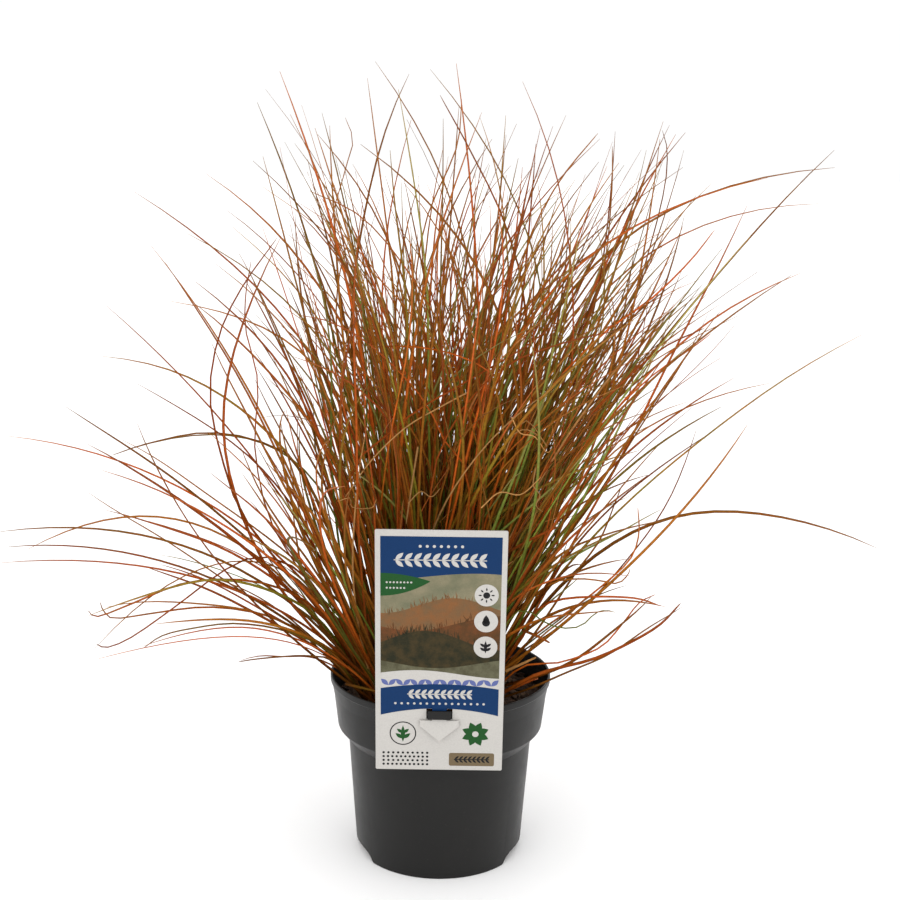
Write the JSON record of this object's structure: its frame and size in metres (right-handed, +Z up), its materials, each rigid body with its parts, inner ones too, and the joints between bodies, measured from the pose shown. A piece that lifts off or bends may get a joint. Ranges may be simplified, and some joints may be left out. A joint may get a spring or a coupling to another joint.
{
  "type": "potted carex sedge",
  "caption": "Tuft of fine arching orange and green sedge blades in a round black nursery pot with a plant label locked to its rim.",
  "frame": {"origin": "centre of the pot's flat underside, on the surface that the pot stands on", "axes": "+Z up along the pot's axis; the label on the rim faces -Y; +X is to the right seen from the label's side"},
  "size_m": [0.57, 0.5028, 0.49],
  "materials": {
    "pot_plastic": "satin",
    "potting_mix": "matte",
    "sedge_blades": "satin",
    "label_card": "satin"
  },
  "bodies": {
    "root": {"pot": "pot_plastic", "soil": "potting_mix", "sedge_tuft": "sedge_blades", "label": "label_card"}
  },
  "joints": []
}
